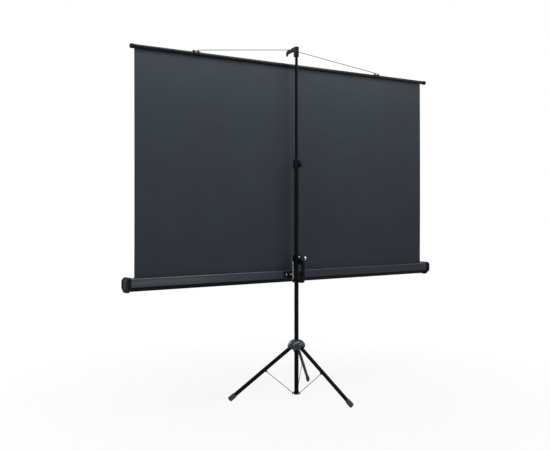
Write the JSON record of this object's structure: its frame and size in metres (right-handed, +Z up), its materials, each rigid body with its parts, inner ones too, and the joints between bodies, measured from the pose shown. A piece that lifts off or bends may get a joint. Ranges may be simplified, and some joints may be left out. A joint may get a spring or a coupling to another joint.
{
  "type": "tripod projection screen",
  "caption": "Floor-standing tripod projection screen: a roll-out cloth drawn up from a wide slim case and hung by its top bar from a hook on a telescopic mast.",
  "frame": {"origin": "the point on the floor straight below the mast's axis", "axes": "+Z up along the mast, +X along the case and the top bar towards their left end as the viewers see it, -Y towards the viewers"},
  "size_m": [2.386, 0.7528, 2.243],
  "materials": {
    "black_tube": "satin black enamel on steel tube",
    "bar_paint": "gloss black enamel on aluminium tube",
    "case_paint": "satin blue-grey enamel on drawn aluminium",
    "roller_alloy": "mill finish",
    "black_plastic": "moulded black, slight gloss",
    "nylon": "natural moulded",
    "screen_cloth": "matt dark backing, white viewing face",
    "foot_rubber": "moulded matt",
    "lever_chrome": "bright plated",
    "zinc_steel": "zinc plated",
    "steel_hardware": "bright plated"
  },
  "bodies": {
    "mast": {"mast_tube": "black_tube", "brace_spider": "black_tube", "hub_stop_ring": "zinc_steel", "lock_collar": "black_plastic", "collar_bush": "nylon", "fabric_lower": "screen_cloth", "fabric_upper": "screen_cloth"},
    "hub": {"hub_cover": "black_plastic", "hub_yoke": "black_tube", "hub_bush": "nylon", "hub_screws": "steel_hardware", "leg_pins": "steel_hardware"},
    "leg_1": {"leg_1": "black_tube", "foot_1": "foot_rubber", "leg_lug_1": "black_tube", "lug_rivet_1": "steel_hardware"},
    "leg_2": {"leg_2": "black_tube", "foot_2": "foot_rubber", "leg_lug_2": "black_tube", "lug_rivet_2": "steel_hardware"},
    "leg_3": {"leg_3": "black_tube", "foot_3": "foot_rubber", "leg_lug_3": "black_tube", "lug_rivet_3": "steel_hardware"},
    "brace_1": {"brace_1": "zinc_steel", "brace_pin_1": "steel_hardware"},
    "brace_2": {"brace_2": "zinc_steel", "brace_pin_2": "steel_hardware"},
    "brace_3": {"brace_3": "zinc_steel", "brace_pin_3": "steel_hardware"},
    "extension": {"extension_tube": "black_tube", "extension_plug": "nylon", "hook_head": "black_plastic", "hook_pin": "steel_hardware", "top_bar": "bar_paint", "bar_caps": "black_plastic", "bar_spline": "steel_hardware", "wire_bail": "zinc_steel", "wire_brackets": "zinc_steel"},
    "carriage": {"upper_clamp": "black_plastic", "lower_guide": "black_plastic", "pivot_plate": "zinc_steel", "carry_handle": "black_plastic", "case_saddle": "black_plastic", "saddle_screws": "steel_hardware", "pivot_bolt": "steel_hardware", "pivot_nut": "steel_hardware", "case_housing": "case_paint", "end_cap_left": "black_plastic", "end_cap_right": "black_plastic", "cap_screws": "steel_hardware", "spring_shaft": "steel_hardware", "idler_pin": "steel_hardware", "roller_spring": "steel_hardware", "lever_pin": "steel_hardware"},
    "roller": {"roller_tube": "roller_alloy", "roller_plugs": "black_plastic", "fabric_roll": "screen_cloth"},
    "collar_knob": {"collar_knob": "black_plastic"},
    "height_lever": {"height_lever": "lever_chrome"}
  },
  "joints": [
    {"name": "hub_slide", "type": "slide", "parent": "mast", "child": "hub", "axis": [0, 0, 1], "range_m": [0, 0.15154]},
    {"name": "leg_hinge_1", "type": "hinge", "parent": "hub", "child": "leg_1", "pos_m": [-0.00945, 0.04092, 0.312], "axis": [-0.9744, -0.225, 0], "range_deg": [0, 53.1]},
    {"name": "leg_hinge_2", "type": "hinge", "parent": "hub", "child": "leg_2", "pos_m": [-0.03072, -0.02864, 0.312], "axis": [0.682, -0.7314, 0], "range_deg": [0, 53.1]},
    {"name": "leg_hinge_3", "type": "hinge", "parent": "hub", "child": "leg_3", "pos_m": [0.04016, -0.01228, 0.312], "axis": [0.2924, 0.9563, 0], "range_deg": [0, 53.1]},
    {"name": "brace_hinge_1", "type": "hinge", "parent": "leg_1", "child": "brace_1", "pos_m": [-0.04488, 0.19442, 0.16872], "axis": [-0.9744, -0.225, 0], "range_deg": [-103.62, 0]},
    {"name": "brace_hinge_2", "type": "hinge", "parent": "leg_2", "child": "brace_2", "pos_m": [-0.14593, -0.13608, 0.16872], "axis": [0.682, -0.7314, 0], "range_deg": [-103.62, 0]},
    {"name": "brace_hinge_3", "type": "hinge", "parent": "leg_3", "child": "brace_3", "pos_m": [0.19081, -0.05834, 0.16872], "axis": [0.2924, 0.9563, 0], "range_deg": [-103.62, 0]},
    {"name": "mast_extension", "type": "slide", "parent": "mast", "child": "extension", "axis": [0, 0, 1], "range_m": [-0.65, 0], "deforming": ["fabric_upper"]},
    {"name": "case_height", "type": "slide", "parent": "mast", "child": "carriage", "axis": [0, 0, 1], "range_m": [0, 0.55], "deforming": ["fabric_lower"]},
    {"name": "roller_spin", "type": "hinge", "parent": "carriage", "child": "roller", "pos_m": [-0.035, -0.0812, 0.77], "axis": [1, 0, 0], "range_deg": [-2128.2, 0]},
    {"name": "collar_lock", "type": "hinge", "parent": "mast", "child": "collar_knob", "pos_m": [-0.02294, 0.01606, 1.49], "axis": [-0.8192, 0.5736, 0], "range_deg": [0, 180]},
    {"name": "height_lock", "type": "hinge", "parent": "carriage", "child": "height_lever", "pos_m": [0, 0.0265, 0.896], "axis": [1, 0, 0], "range_deg": [0, 25]}
  ],
  "couplings": [
    {"joint": "leg_hinge_1", "follows": "hub_slide", "rad_per_m": 6.1158},
    {"joint": "leg_hinge_2", "follows": "hub_slide", "rad_per_m": 6.1158},
    {"joint": "leg_hinge_3", "follows": "hub_slide", "rad_per_m": 6.1158},
    {"joint": "brace_hinge_1", "follows": "hub_slide", "rad_per_m": -11.934},
    {"joint": "brace_hinge_2", "follows": "hub_slide", "rad_per_m": -11.934},
    {"joint": "brace_hinge_3", "follows": "hub_slide", "rad_per_m": -11.934},
    {"joint": "roller_spin", "follows": "mast_extension", "rad_per_m": 57.143}
  ]
}
